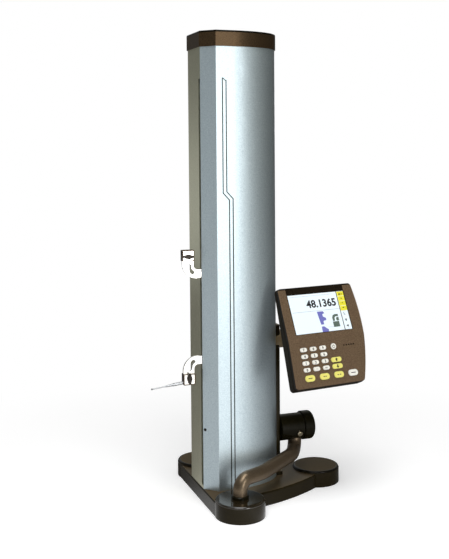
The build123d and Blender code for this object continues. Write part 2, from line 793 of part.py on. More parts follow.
def window_place(z):
    width, height = window_size()
    return Pos(width / 2 - window_lap, height / 2 - screen_height, z)


def key_table():
    """Every key: name, shape, and its place on the keypad."""
    names = (("key_7", "key_8", "key_9"), ("key_4", "key_5", "key_6"), ("key_1", "key_2", "key_3"),
             ("key_0", "key_point", "key_sign"))
    table = {}
    for row, line in enumerate(names):
        for column, name in enumerate(line):
            table[name] = (number_key_size, number_key_u + column * number_key_pitch[0],
                           number_key_v + row * number_key_pitch[1])
    table["key_power"] = ((power_key_diameter, power_key_diameter), power_key_u, number_key_v)
    table["key_up"] = (arrow_key_size, arrow_key_u, last_row_v - number_key_pitch[1])
    table["key_down"] = (arrow_key_size, arrow_key_u, last_row_v)
    for i, name in enumerate(("function_key_1", "function_key_2", "function_key_3", "key_enter")):
        table[name] = (wide_key_size, wide_key_u + i * wide_key_pitch, wide_key_v)
    return table


def key_outline(size, grow=0.0):
    """An oval key as wide as it is long, or a slot shape with round ends."""
    width, height = size[0] + 2 * grow, size[1] + 2 * grow
    if abs(width - height) < 0.01:
        return Circle(width / 2)
    return RectangleRounded(width, height, height / 2 * 0.98)


def keypad_local(u, v):
    """A place on the keypad in the housing's own directions."""
    turn = Rot(fold, 0, 0)
    return Pos(0, -fold_v, 0) * turn * Pos(u, -(v - fold_v), 0)


def key_solid(size, u, v):
    key = extrude(Pos(0, 0, key_stand - key_length_total) * key_outline(size), amount=key_length_total)
    key = fillet(key.faces().sort_by(Axis.Z)[-1].edges(), key_round)
    return screen_plane.location * (keypad_local(u, v) * key)


def front_shell():
    depth = front_shell_depth
    shell = housing_solid(0, folded_line(0), folded_line(depth))
    edges = [e for e in shell.edges() if max(abs(v.Z + face_drop(v.Y)) for v in e.vertices()) < 0.01]
    shell = fillet([e for e in edges if not runs_across(e)], face_round)
    shell -= housing_solid(shell_wall, folded_line(face_thickness), folded_line(2 * depth))
    recess = RectangleRounded(*window_size(), window_corner)
    shell -= window_place(-window_thickness) * extrude(recess, amount=depth)
    opening = RectangleRounded(screen_width - window_lap, screen_height - window_lap, window_corner / 2)
    shell -= Pos(screen_width / 2, -screen_height / 2, 0) * extrude(opening, amount=depth, both=True)
    for size, u, v in key_table().values():
        shell -= keypad_local(u, v) * extrude(key_outline(size, key_gap), amount=depth, both=True)
    for i in range(speaker_holes):
        u = power_key_u + speaker_hole_reach + i * speaker_hole_pitch
        shell -= keypad_local(u, number_key_v) * Cylinder(speaker_hole_radius, 2 * depth)
    return screen_plane.location * shell


def face_drop(y):
    """How far the folded face lies below the screen's plane at this height."""
    return max(0.0, (-y - fold_v) * tan(radians(fold)))


def runs_across(edge):
    """True for the fold line, which stays sharp."""
    ends = edge.vertices()
    return all(abs(-v.Y - fold_v) < 0.01 for v in ends)


def lugs():
    """Two plates on the back of the housing that hold the swivel pin."""
    gap = swivel_barrel_height / 2 + lug_gap
    plates = []
    for z0 in (swivel_z + gap, swivel_z - gap - lug_thickness):
        arm_shape = Pos(swivel_x, swivel_y - lug_length / 2) * Rectangle(2 * swivel_barrel_radius, lug_length)
        shape = arm_shape + Pos(swivel_x, swivel_y) * Circle(swivel_barrel_radius)
        shape -= Pos(swivel_x, swivel_y) * Circle(swivel_pin_radius + running_gap)
        plates.append(prism(shape, z0, z0 + lug_thickness))
    return plates


def rear_shell():
    split = front_shell_depth
    back = straight_line(housing_top_depth, housing_bottom_depth)
    outer = housing_solid(-rear_shell_proud, folded_line(split), back)
    whole = screen_plane.location * housing_solid(-rear_shell_proud, folded_line(0), back)
    inner = housing_solid(shell_wall, folded_line(split / 2),
                          straight_line(housing_top_depth - shell_wall, housing_bottom_depth - shell_wall))
    shell = screen_plane.location * (outer - inner)
    for lug in lugs():
        shell += lug - whole
    return shell


def display_window():
    width, height = window_size()
    pane = RectangleRounded(width - 2 * window_gap, height - 2 * window_gap, window_corner - window_gap)
    pane = extrude(pane, amount=window_thickness - window_gap)
    return screen_plane.location * (window_place(-window_thickness) * pane)


def display_hub():
    end = post_back_x + display_hub_length
    hub = rod(display_hub_radius, post_back_x - display_hub_wrap, end, z=display_hub_z)
    hub = chamfer(hub.edges().group_by(Axis.X)[-1], 1.0)
    hub -= prism(post_section() + column_outline(), 0, column_top)
    return hub - rod(trunnion_radius + running_gap, post_back_x + 3, end + 1, z=display_hub_z)


def display_yoke():
    start = post_back_x + display_hub_length + free_gap
    drum = rod(display_hub_radius, start, start + yoke_length, z=display_hub_z)
    drum = chamfer(drum.edges().group_by(Axis.X)[0], 1.0)
    drum = fillet(drum.edges().group_by(Axis.X)[-1], 4)
    drum += rod(trunnion_radius, start - trunnion_length, start + 1, z=display_hub_z)
    drum += box(swivel_x - yoke_arm_width / 2, swivel_x + yoke_arm_width / 2, swivel_y, 0,
                swivel_z - yoke_arm_height / 2, swivel_z + yoke_arm_height / 2)
    half = swivel_barrel_height / 2
    drum += upright(swivel_barrel_radius, swivel_x, swivel_y, swivel_z - half, swivel_z + half)
    pin_half = half + lug_gap + lug_thickness + 2
    return drum + upright(swivel_pin_radius, swivel_x, swivel_y, swivel_z - pin_half, swivel_z + pin_half)


def all_parts():
    upper, lower = (arm_root_upper_z, 1), (arm_root_lower_z, -1)
    parts = {
        "base_casting": base_casting(),
        "foot_caps": Compound([foot_cap(*lobes["left"]), foot_cap(*lobes["rear"])]),
        "foot_cap_front": foot_cap(*lobes["front"], hole=tube_radius),
        "air_pads": air_pads(),
        "column_bolts": column_bolts(),
        "column_profile": column_profile(),
        "front_cover": front_cover(),
        "column_cap": column_cap(),
        "rear_post": rear_post(),
        "handwheel_hub": handwheel_hub(),
        "shaft_bearings": shaft_bearings(),
        "handle_tube": handle_tube(),
        "handle_collar": handle_collar(),
        "guide_rail": guide_rail(),
        "glass_scale": glass_scale(),
        "drive_belt": drive_belt(),
        "idler_bracket": idler_bracket(),
        "battery_pack": battery_pack(),
        "air_pump": air_pump(),
        "display_hub": display_hub(),
        "carriage_plate": carriage_plate(),
        "bearing_blocks": bearing_blocks(),
        "belt_clamp": belt_clamp(),
        "reading_head": reading_head(),
        "upper_arm": arm(*upper),
        "lower_arm": arm(*lower),
        "upper_clamp_block": clamp_block(*upper, 0) - arm(*upper),
        "lower_clamp_block": clamp_block(*lower, stylus_slope) - arm(*lower),
        "probe_stylus": probe_stylus(),
        "upper_clamp_key": clamp_key(*upper, 0),
        "lower_clamp_key": clamp_key(*lower, 90),
        "handwheel": handwheel(),
        "drive_shaft": drive_shaft(),
        "drive_pulley": drive_pulley(),
        "idler_pulley": idler_pulley(),
        "counterweight": counterweight(),
        "air_button": air_button(),
        "display_yoke": display_yoke(),
        "display_front_shell": front_shell(),
        "display_rear_shell": rear_shell(),
        "display_window": display_window(),
    }
    for name, (size, u, v) in key_table().items():
        parts[name] = key_solid(size, u, v)
    return parts


os.makedirs("parts", exist_ok=True)
for name, part in all_parts().items():
    export_step(part, f"parts/{name}.step")
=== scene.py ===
import math

import bmesh
import bpy
from mathutils import Matrix, Vector


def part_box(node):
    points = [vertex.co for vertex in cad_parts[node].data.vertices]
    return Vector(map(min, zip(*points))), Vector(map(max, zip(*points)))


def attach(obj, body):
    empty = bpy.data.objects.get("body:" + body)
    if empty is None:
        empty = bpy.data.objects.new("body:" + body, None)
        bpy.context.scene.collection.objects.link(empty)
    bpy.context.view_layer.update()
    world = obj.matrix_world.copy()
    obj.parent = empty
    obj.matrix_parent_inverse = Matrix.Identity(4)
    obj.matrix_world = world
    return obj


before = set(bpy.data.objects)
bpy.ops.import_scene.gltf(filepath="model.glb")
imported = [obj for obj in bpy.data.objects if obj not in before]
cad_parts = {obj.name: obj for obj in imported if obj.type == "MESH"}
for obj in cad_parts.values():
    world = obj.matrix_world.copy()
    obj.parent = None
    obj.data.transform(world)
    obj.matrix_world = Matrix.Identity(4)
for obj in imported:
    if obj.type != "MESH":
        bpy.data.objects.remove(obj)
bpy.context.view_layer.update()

MM = 0.001


# Base casting and rear post
# An iron casting and an aluminium post, both under a dark brown stoving enamel that is sprayed
# and baked. The post stands behind the column and carries the display.

def linear(hex_colour):
    """An sRGB hex colour as the linear values that a shader takes."""
    channels = [int(hex_colour[i:i + 2], 16) / 255 for i in (1, 3, 5)]
    return (*[c / 12.92 if c <= 0.04045 else ((c + 0.055) / 1.055) ** 2.4 for c in channels], 1.0)


def add(tree, kind, sockets, **properties):
    """Adds a shader node. A socket given another node's output is linked, any other is set."""
    node = tree.nodes.new(kind)
    for name, value in properties.items():
        setattr(node, name, value)
    for name, value in sockets.items():
        if isinstance(value, bpy.types.NodeSocket):
            tree.links.new(value, node.inputs[name])
        else:
            node.inputs[name].default_value = value
    return node


def start_material(name, **settings):
    """A new material with its Principled shader, whose sockets are named with underscores."""
    material = bpy.data.materials.new(name)
    material.use_nodes = True
    tree = material.node_tree
    shader = tree.nodes["Principled BSDF"]
    for socket, value in settings.items():
        shader.inputs[socket.replace("_", " ")].default_value = value
    place = add(tree, "ShaderNodeTexCoord", {}).outputs["Object"]
    return material, tree, shader, place


def grain_bump(tree, shader, place, grain_mm, bump_mm, detail=3.0):
    """A bump in grains of a real size. Returns the grains, for a colour to follow."""
    grain = add(tree, "ShaderNodeTexNoise", {"Vector": place, "Scale": 1 / (grain_mm * MM),
                                             "Detail": detail, "Roughness": 0.6})
    bump = add(tree, "ShaderNodeBump", {"Height": grain.outputs["Fac"],
                                        "Distance": bump_mm * MM, "Strength": 1.0})
    tree.links.new(bump.outputs["Normal"], shader.inputs["Normal"])
    return grain


def facing(tree, direction):
    """How squarely the surface faces a direction: 1 straight at it, 0 edge on."""
    normal = add(tree, "ShaderNodeTexCoord", {}).outputs["Normal"]
    return add(tree, "ShaderNodeVectorMath", {0: normal, 1: direction},
               operation="DOT_PRODUCT").outputs["Value"]


def split_finish(tree, shader, mask, colours, roughnesses):
    """Two finishes on one piece: the first where mask is 0 and the second where it is 1."""
    colour = add(tree, "ShaderNodeMix", {"Factor": mask, 6: linear(colours[0]),
                                         7: linear(colours[1])}, data_type="RGBA")
    rough = add(tree, "ShaderNodeMix", {"Factor": mask, 2: roughnesses[0], 3: roughnesses[1]})
    tree.links.new(colour.outputs[2], shader.inputs["Base Color"])
    tree.links.new(rough.outputs[0], shader.inputs["Roughness"])


def dress(material, *nodes):
    """Gives CAD pieces their finish."""
    for name in nodes:
        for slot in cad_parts[name].material_slots:
            slot.material = material


# Baked enamel: nearly black and glossy on the sides with a faint orange peel. The tops are duller
# and painted a lighter brown, a painted sheen for the light that they catch from above.
SQUARE_ON = 0.9           # faces that look straight at a direction, and not their rounded edges
enamel, tree, shader, place = start_material("brown_stoving_enamel", Specular_IOR_Level=0.12)
grain_bump(tree, shader, place, grain_mm=6, bump_mm=0.02)
lit_tops = add(tree, "ShaderNodeMath", {0: facing(tree, (0, 0, 1)), 1: SQUARE_ON},
           operation="GREATER_THAN")
split_finish(tree, shader, lit_tops.outputs[0], ("#241e0f", "#524530"), (0.2, 0.34))
dress(enamel, "base_casting", "rear_post")


# Foot caps
# Aluminium discs that close the three lobes. The front one is polished black all over. The other
# two have a satin brown disc, painted lighter for the brown surroundings that their glossy tops
# mirror, inside a near black rim that is a painted reflection of the dark room in the rounded
# edge.

def distance_to(tree, place, x_mm, y_mm):
    """How far a point is from an upright line, in metres."""
    flat = add(tree, "ShaderNodeVectorMath", {0: place, 1: (1, 1, 0)}, operation="MULTIPLY")
    return add(tree, "ShaderNodeVectorMath", {0: flat.outputs[0], 1: (x_mm * MM, y_mm * MM, 0)},
               operation="DISTANCE").outputs["Value"]


# Painted reflections on glossy paint: a satin brown disc for the surroundings that the top
# mirrors, in a rim like black glass for the dark room that the rounded edge mirrors.
REAR_LOBE_X = 243.0
LOBE_SPREAD = 138.6
CAP_DISC_RADIUS = 48.5
reflection_cap_paint, tree, shader, place = start_material("cap_paint_with_painted_reflections", Specular_IOR_Level=0.12)
nearest = add(tree, "ShaderNodeMath", {0: distance_to(tree, place, REAR_LOBE_X, 0),
                                       1: distance_to(tree, place, 0, LOBE_SPREAD)},
              operation="MINIMUM")
dark_reflection_rim = add(tree, "ShaderNodeMath", {0: nearest.outputs[0], 1: CAP_DISC_RADIUS * MM},
          operation="GREATER_THAN")
split_finish(tree, shader, dark_reflection_rim.outputs[0], ("#4d4029", "#15110a"), (0.5, 0.12))
grain_bump(tree, shader, place, grain_mm=0.83, bump_mm=0.04)
dress(reflection_cap_paint, "foot_caps")


def mottle(tree, shader, place, colours, grain_mm, bump_mm, detail=3.0):
    """Colour between two hex values and a matching bump, in grains of a real size."""
    grain = grain_bump(tree, shader, place, grain_mm, bump_mm, detail)
    ramp = add(tree, "ShaderNodeValToRGB", {"Fac": grain.outputs["Fac"]})
    for element, position, colour in zip(ramp.color_ramp.elements, (0.25, 0.75), colours):
        element.position = position
        element.color = linear(colour)
    tree.links.new(ramp.outputs["Color"], shader.inputs["Base Color"])


# Polished lacquer: it mirrors the pale room, so that the black cap looks grey.
black_cap, tree, shader, place = start_material("black_cap_gloss", Roughness=0.07,
                                                Specular_IOR_Level=0.8)
mottle(tree, shader, place, ("#1d180d", "#272013"), grain_mm=8, bump_mm=0.01)
dress(black_cap, "foot_cap_front")


# Air pads
# Lapped brass rings pressed into the underside. Air from the pump leaves through them and lifts
# the gauge on a thin film.

# Lapped brass: an even yellow metal with a soft sheen.
brass, tree, shader, place = start_material("lapped_brass", Metallic=1.0, Roughness=0.35)
mottle(tree, shader, place, ("#8f7540", "#b39654"), grain_mm=3, bump_mm=0.005)
dress(brass, "air_pads")


# Column, front cover and cap
# A drawn aluminium profile with a strip of the same alloy set in its front, both blasted and
# anodised, closed by a painted cap. Two fine lines are printed down the flank.

# Blasted and anodised aluminium: a silvery satin with a fine sparkle, bluish on the profile. The
# cover is painted a warm beige, a painted shade tone for its front face, which looks away from
# the lamps. The blasting is drawn at 2.4 mm, coarser than the real one, so that it shows.
BLASTING = 2.4
anodised, tree, shader, place = start_material("blue_silver_anodising", Metallic=0.9,
                                               Roughness=0.42)
mottle(tree, shader, place, ("#abbbc3", "#d0dce0"), grain_mm=BLASTING, bump_mm=0.03, detail=6.0)
dress(anodised, "column_profile")

warm_shade_anodising, tree, shader, place = start_material("anodising_in_painted_warm_shade", Metallic=0.9,
                                                Roughness=0.32)
mottle(tree, shader, place, ("#c4c2a6", "#dedcc3"), grain_mm=BLASTING, bump_mm=0.02, detail=6.0)
dress(warm_shade_anodising, "front_cover")


def paint_edge(tree, shader, kept_bright, colour):
    """Paints one colour over the present one, except where bare is 1."""
    present = shader.inputs["Base Color"].links[0].from_socket
    painted = add(tree, "ShaderNodeMix", {"Factor": kept_bright, 6: linear(colour), 7: present},
                  data_type="RGBA")
    tree.links.new(painted.outputs[2], shader.inputs["Base Color"])


# Textured brown paint with metal flakes, and a near black band round the top of the lid, painted
# shade for the dark line along its top edge. The texture is drawn at 2 mm, coarser than the real
# one, so that its sparkle shows.
LID_SHADE_BAND = 4.5
textured_paint, tree, shader, place = start_material(
    "brown_textured_paint", Roughness=0.32, Metallic=0.7, Specular_IOR_Level=0.12)
mottle(tree, shader, place, ("#33281c", "#5a4833"), grain_mm=2.0, bump_mm=0.12)
height = add(tree, "ShaderNodeSeparateXYZ", {0: place}).outputs["Z"]
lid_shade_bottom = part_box("column_cap")[1][2] - LID_SHADE_BAND * MM
below_lid_shade = add(tree, "ShaderNodeMath", {0: height, 1: lid_shade_bottom}, operation="LESS_THAN")
paint_edge(tree, shader, below_lid_shade.outputs[0], "#16120b")
dress(textured_paint, "column_cap")


def new_piece(name, mesh, material, body):
    """A new object at the origin that rides on a body."""
    mesh.materials.clear()
    mesh.materials.append(material)
    piece = bpy.data.objects.new(name, mesh)
    bpy.context.scene.collection.objects.link(piece)
    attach(piece, body)
    return piece


def slab_mesh(name, outlines, place, bottom, top):
    """Flat shapes in millimetres raised between two heights, put in place as one mesh."""
    form = bmesh.new()
    for outline in outlines:
        low = [form.verts.new((x * MM, y * MM, bottom * MM)) for x, y in outline]
        face = form.faces.new(low)
        raised = bmesh.ops.extrude_face_region(form, geom=[face])
        up = [v for v in raised["geom"] if isinstance(v, bmesh.types.BMVert)]
        bmesh.ops.translate(form, vec=(0, 0, (top - bottom) * MM), verts=up)
    bmesh.ops.recalc_face_normals(form, faces=form.faces)
    bmesh.ops.transform(form, matrix=place, verts=form.verts)
    mesh = bpy.data.meshes.new(name)
    form.to_mesh(mesh)
    form.free()
    return mesh


def standing(origin_mm, right, out):
    """A place whose x runs along right and whose z runs along out."""
    right, out = Vector(right).normalized(), Vector(out).normalized()
    turned = Matrix((right, out.cross(right), out)).transposed().to_4x4()
    return Matrix.Translation(Vector(origin_mm) * MM) @ turned


# Screen-printed ink: a flat dark grey line with no shine.
ink, tree, shader, place = start_material("dark_line_ink", Roughness=0.5, Specular_IOR_Level=0.2)
mottle(tree, shader, place, ("#22241f", "#2e312b"), grain_mm=1, bump_mm=0.0)

FLANK_Y = -71.5
STRIPE_BOTTOM = 31.5
STRIPE_TOP = 942.0
STRIPE_JOG = (690.0, 674.5)     # the heights between which the pair steps aside
STRIPE_JOG_RISE = 3.0           # how much higher the second line steps aside
STRIPE_MITRE = 0.8              # keeps the line's width through the step
STRIPE_UPPER_X = -9.4
STRIPE_STEP = 14.4
STRIPE_GAP = 8.4
STRIPE_TOP_SLANT = 5.0
STRIPE_WIDTH = 2.5
PRINT_DEPTH = (-0.05, 0.1)      # from just inside the flank to just proud of it


def stepped_line(x, rise):
    """A line's left side from its step to the bottom, and its right side back up."""
    far = x + STRIPE_STEP
    high, low = (level + rise for level in STRIPE_JOG)
    return [(x, high), (far, low), (far, STRIPE_BOTTOM), (far + STRIPE_WIDTH, STRIPE_BOTTOM),
            (far + STRIPE_WIDTH, low + STRIPE_MITRE), (x + STRIPE_WIDTH, high + STRIPE_MITRE)]


left = STRIPE_UPPER_X - STRIPE_WIDTH / 2
right = left + STRIPE_GAP
slanted_top = STRIPE_TOP - STRIPE_TOP_SLANT
pair = [(left, STRIPE_TOP), *stepped_line(left, 0),
        (left + STRIPE_WIDTH, STRIPE_TOP - STRIPE_WIDTH), (right, slanted_top - STRIPE_WIDTH),
        *stepped_line(right, STRIPE_JOG_RISE), (right + STRIPE_WIDTH, slanted_top),
        (right, slanted_top), (left + STRIPE_WIDTH, STRIPE_TOP)]
flank_place = standing((0, FLANK_Y, 0), (1, 0, 0), (0, -1, 0))
new_piece("pinstripes", slab_mesh("pinstripes", [pair], flank_place, *PRINT_DEPTH), ink,
          "stand")


def turned_mesh(name, profile, place, steps=32):
    """A profile of (radius, height) in millimetres turned about its axis and put in place."""
    form = bmesh.new()
    verts = [form.verts.new((r * MM, 0, h * MM)) for r, h in profile]
    edges = [form.edges.new(pair) for pair in zip(verts, verts[1:])]
    bmesh.ops.spin(form, geom=verts + edges, cent=(0, 0, 0), axis=(0, 0, 1), angle=math.tau,
                   steps=steps, use_merge=True, use_duplicate=False)
    bmesh.ops.remove_doubles(form, verts=form.verts, dist=0.00002)
    bmesh.ops.recalc_face_normals(form, faces=form.faces)
    bmesh.ops.transform(form, matrix=place, verts=form.verts)
    mesh = bpy.data.meshes.new(name)
    form.to_mesh(mesh)
    form.free()
    return mesh


# Blackened screw steel: a small dark head with a dull metal edge.
SCREW_PLACE = (-47.8, -47.7, 165)
BUTTON_HEAD = [(0, 0.3), (1.5, 0.3), (1.5, 1.7), (2.3, 1.5), (3.0, 1.0), (3.4, 0.2),
               (3.4, -0.2), (0, -0.2)]
black_screw, tree, shader, place = start_material("black_screw_steel", Roughness=0.35,
                                                  Metallic=0.3)
mottle(tree, shader, place, ("#12110f", "#1d1b18"), grain_mm=1, bump_mm=0.01)
chamfer_place = standing(SCREW_PLACE, (1, -1, 0), (-1, -1, 0))
new_piece("chamfer_screw", turned_mesh("chamfer_screw", BUTTON_HEAD, chamfer_place), black_screw,
          "stand")


# Lifting handle and the display's joint
# A bent aluminium tube, and the turned hub and yoke that carry the display. They are painted
# brown before they are fitted.

# Satin paint with metal flakes: a brown sheen that runs along the tube's bends.
handle_paint, tree, shader, place = start_material(
    "brown_satin_paint", Roughness=0.3, Metallic=0.7, Specular_IOR_Level=0.2)
mottle(tree, shader, place, ("#4b4033", "#80705b"), grain_mm=0.9, bump_mm=0.05)
dress(handle_paint, "handle_tube")

# A brown without flakes, painted lighter than the tube's as a painted highlight for the light on
# the joint: an even paint with a fine texture.
lightened_joint_paint, tree, shader, place = start_material("brown_joint_paint_lightened", Roughness=0.5,
                                                  Specular_IOR_Level=0.3)
mottle(tree, shader, place, ("#75654a", "#93805f"), grain_mm=0.9, bump_mm=0.05)
dress(lightened_joint_paint, "display_hub", "display_yoke")


# Handwheel, its hub, the handle's collar and the air button
# A moulded handwheel on a turned hub, and the turned collar at the handle's foot, all in polished
# black. A small metal button in the hub's lower side starts the air pump.

# Polished black: a deep colour with soft reflections and no grain.
black_gloss, tree, shader, place = start_material("polished_black", Roughness=0.16,
                                                  Specular_IOR_Level=0.09)
mottle(tree, shader, place, ("#131108", "#1b180d"), grain_mm=8, bump_mm=0.01)
dress(black_gloss, "handwheel", "handwheel_hub", "handle_collar")

# Polished metal: one bright spot in the dark hub.
button_gloss, tree, shader, place = start_material("polished_button", Roughness=0.1,
                                                   Metallic=1.0)
mottle(tree, shader, place, ("#8f8570", "#a89c84"), grain_mm=3, bump_mm=0.0)
dress(button_gloss, "air_button")


# Probe holders
# Two steel brackets on the carriage, each with a clamp block and its key. The lower one holds a
# ground steel probe.

# Nickel plate: bright, a little soft, and almost white against the room.
bright, tree, shader, place = start_material("bright_nickel_plate", Metallic=1.0, Roughness=0.2)
mottle(tree, shader, place, ("#d8d6d0", "#f0eee9"), grain_mm=4, bump_mm=0.005)
dress(bright, "upper_arm", "lower_arm")

# Steel, bright on the front face inside a dark rim and dark on every other face.
BLOCK_RIM = 2.2
for block in ("upper_clamp_block", "lower_clamp_block"):
    block_steel, tree, shader, place = start_material(block + "_steel", Metallic=1.0)
    kept_bright = add(tree, "ShaderNodeMath", {0: facing(tree, (0, -1, 0)), 1: SQUARE_ON},
               operation="GREATER_THAN")
    where = add(tree, "ShaderNodeSeparateXYZ", {0: place})
    low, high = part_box(block)
    for axis, i in (("X", 0), ("Z", 2)):
        middle, reach = (low[i] + high[i]) / 2, (high[i] - low[i]) / 2 - BLOCK_RIM * MM
        inside = add(tree, "ShaderNodeMath", {0: where.outputs[axis], 1: middle, 2: reach},
                     operation="COMPARE")
        kept_bright = add(tree, "ShaderNodeMath", {0: kept_bright.outputs[0], 1: inside.outputs[0]},
                   operation="MULTIPLY")
    split_finish(tree, shader, kept_bright.outputs[0], ("#41352a", "#efece5"), (0.3, 0.25))
    dress(block_steel, block)

# Black oxide: a thin dark skin that leaves the steel's sheen.
oxide, tree, shader, place = start_material("black_oxide_steel", Metallic=0.6, Roughness=0.35)
mottle(tree, shader, place, ("#1d1813", "#2c241c"), grain_mm=2, bump_mm=0.01)
dress(oxide, "upper_clamp_key", "lower_clamp_key", "column_bolts")

# Ground steel: a grey metal with a fine even grain.
ground_steel, tree, shader, place = start_material("ground_steel", Metallic=1.0, Roughness=0.3)
mottle(tree, shader, place, ("#8d8f92", "#b5b7b9"), grain_mm=1.5, bump_mm=0.01)
dress(ground_steel, "probe_stylus", "guide_rail", "bearing_blocks", "drive_shaft",
      "shaft_bearings", "counterweight")


# Drive and electronics inside the column
# Machined pulleys and brackets with a moulded rubber belt between them, the glass scale and its
# reading head, and the boxed battery and air pump.

# Machined aluminium: a light metal with fine tool marks.
machined, tree, shader, place = start_material("machined_aluminium", Metallic=1.0,
                                               Roughness=0.35)
mottle(tree, shader, place, ("#a9abad", "#c9cbcc"), grain_mm=1.2, bump_mm=0.01)
dress(machined, "carriage_plate", "drive_pulley", "idler_pulley", "idler_bracket", "belt_clamp")

# Moulded rubber: a dull black.
rubber, tree, shader, place = start_material("black_belt_rubber", Roughness=0.7)
mottle(tree, shader, place, ("#16161a", "#232328"), grain_mm=1, bump_mm=0.05)
dress(rubber, "drive_belt")

# Moulded ABS: a matt dark grey with a fine grain.
graphite, tree, shader, place = start_material("graphite_moulding", Roughness=0.5)
mottle(tree, shader, place, ("#23262b", "#2f3339"), grain_mm=0.8, bump_mm=0.04)
dress(graphite, "battery_pack", "air_pump", "reading_head")

# Glass: smooth and pale green, with its graduations too fine to see.
scale_glass, tree, shader, place = start_material("scale_glass", Roughness=0.08)
mottle(tree, shader, place, ("#9fb3ab", "#b6c6bf"), grain_mm=3, bump_mm=0.0)
dress(scale_glass, "glass_scale")


# Display housing, window and keys
# Two shells moulded in ABS with a spark-eroded grain and screwed together, a black-bordered
# window glued into the front one, and keys of white and yellow plastic.

SWIVEL = math.radians(8.12)
SCREEN_LEAN = math.radians(25.3)
KEYPAD_LEAN = math.radians(19.3)
SCREEN_CORNER = (141.8, -70.0, 455.2)
face_right = (math.cos(SWIVEL), math.sin(SWIVEL), 0)


def face_out(lean):
    """The way a part of the housing's face looks when it leans back by an angle."""
    return (math.sin(SWIVEL) * math.cos(lean), -math.cos(SWIVEL) * math.cos(lean),
            math.sin(lean))


screen_place = standing(SCREEN_CORNER, face_right, face_out(SCREEN_LEAN))

# Grained ABS: a matt brown face, painted near black round its sides as painted shade, and darker
# along its top edge. The grain is drawn at 1.8 mm, coarser than the real one, so that it shows.
SIDE_TO_FACE = (0.45, 0.85)      # how squarely the side and then the face look forward
TOP_EDGE = (14.5, 12.5)          # the dark edge and the brown face, above the screen's corner
front_moulding, tree, shader, place = start_material("brown_grained_moulding", Roughness=0.55,
                                                     Specular_IOR_Level=0.2)
mottle(tree, shader, place, ("#49382a", "#78634a"), grain_mm=1.8, bump_mm=0.12)
lit_face = add(tree, "ShaderNodeMapRange", {"Value": facing(tree, face_out(SCREEN_LEAN)),
                                           "From Min": SIDE_TO_FACE[0],
                                           "From Max": SIDE_TO_FACE[1]})
face_up = Vector(face_out(SCREEN_LEAN)).cross(face_right)
corner_height = Vector(SCREEN_CORNER).dot(face_up)
height = add(tree, "ShaderNodeVectorMath", {0: place, 1: face_up}, operation="DOT_PRODUCT")
below_edge = add(tree, "ShaderNodeMapRange", {"Value": height.outputs["Value"],
                                              "From Min": (corner_height + TOP_EDGE[0]) * MM,
                                              "From Max": (corner_height + TOP_EDGE[1]) * MM})
brown = add(tree, "ShaderNodeMath", {0: lit_face.outputs[0], 1: below_edge.outputs[0]},
            operation="MULTIPLY")
# Paints the shade on the sides and the dark band along the top edge.
paint_edge(tree, shader, brown.outputs[0], "#16110b")
dress(front_moulding, "display_front_shell")

# The same ABS in near black, with little shine.
rear_moulding, tree, shader, place = start_material("dark_grained_moulding", Roughness=0.5,
                                                    Specular_IOR_Level=0.08)
mottle(tree, shader, place, ("#17120a", "#241d12"), grain_mm=1.1, bump_mm=0.06)
dress(rear_moulding, "display_rear_shell")

# Acrylic, printed black from behind: a smooth dark border round the picture.
window_black, tree, shader, place = start_material("black_window_border", Roughness=0.2,
                                                   Specular_IOR_Level=0.2)
mottle(tree, shader, place, ("#150f08", "#20180e"), grain_mm=8, bump_mm=0.0)
dress(window_black, "display_window")

# Moulded key plastic: a smooth satin that keeps its colour bright.
white_plastic, tree, shader, place = start_material("white_key_moulding", Roughness=0.4)
mottle(tree, shader, place, ("#f1eee2", "#faf8f0"), grain_mm=1, bump_mm=0.01)
yellow_plastic, tree, shader, place = start_material("yellow_key_moulding", Roughness=0.4)
mottle(tree, shader, place, ("#ece26c", "#f4ee86"), grain_mm=1, bump_mm=0.01)
digit_keys = [f"key_{i}" for i in range(10)]
dress(white_plastic, *digit_keys, "key_point", "key_sign", "key_power", "key_enter")
dress(yellow_plastic, "key_up", "key_down", "function_key_1", "function_key_2", "function_key_3")


# Screen picture
# What the liquid crystal screen shows: a reading in large digits, a soft-key column and two plain
# sketches. It lies on the window as thin layers that glow a little.

def screen_ink(name, colour, glow):
    """A screen colour with its own light."""
    return start_material(name, Roughness=0.35, Specular_IOR_Level=0.2, Emission_Strength=glow,
                          Emission_Color=linear(colour), Base_Color=linear(colour))[0]


# Lit liquid crystal: flat even colours, each as bright as its part of the picture.
lcd_white = screen_ink("lcd_pale", "#d6e0e4", 0.36)
lcd_yellow = screen_ink("lcd_yellow", "#e3da3c", 0.12)
lcd_dark = screen_ink("lcd_dark", "#1b1b1d", 0.0)
lcd_violet = screen_ink("lcd_violet", "#6e70b4", 0.15)
lcd_green = screen_ink("lcd_green", "#5d6c62", 0.05)
lcd_line = screen_ink("lcd_line", "#a9b2b6", 0.15)

SCREEN_WIDTH = 150.4
PICTURE_BOTTOM = 90.6
PICTURE_BASE = -0.21      # the window's surface, below the housing's face
LAYER_STEP = 0.03
LAYER_DEPTH = 0.04
SOFT_KEY_LEFT = 132.2
SOFT_KEY_PITCH = 11.6


def rectangle(x0, y0, x1, y1):
    """The outline between two corners."""
    return [(x0, y0), (x1, y0), (x1, y1), (x0, y1)]


def on_screen(name, outlines, layer, material):
    """Shapes given as (right, down) from the picture's corner, one of a few thin layers."""
    flipped = [[(u, -v) for u, v in outline] for outline in outlines]
    base = PICTURE_BASE + LAYER_STEP * layer
    mesh = slab_mesh(name, flipped, screen_place, base, base + LAYER_DEPTH)
    return new_piece(name, mesh, material, "display")


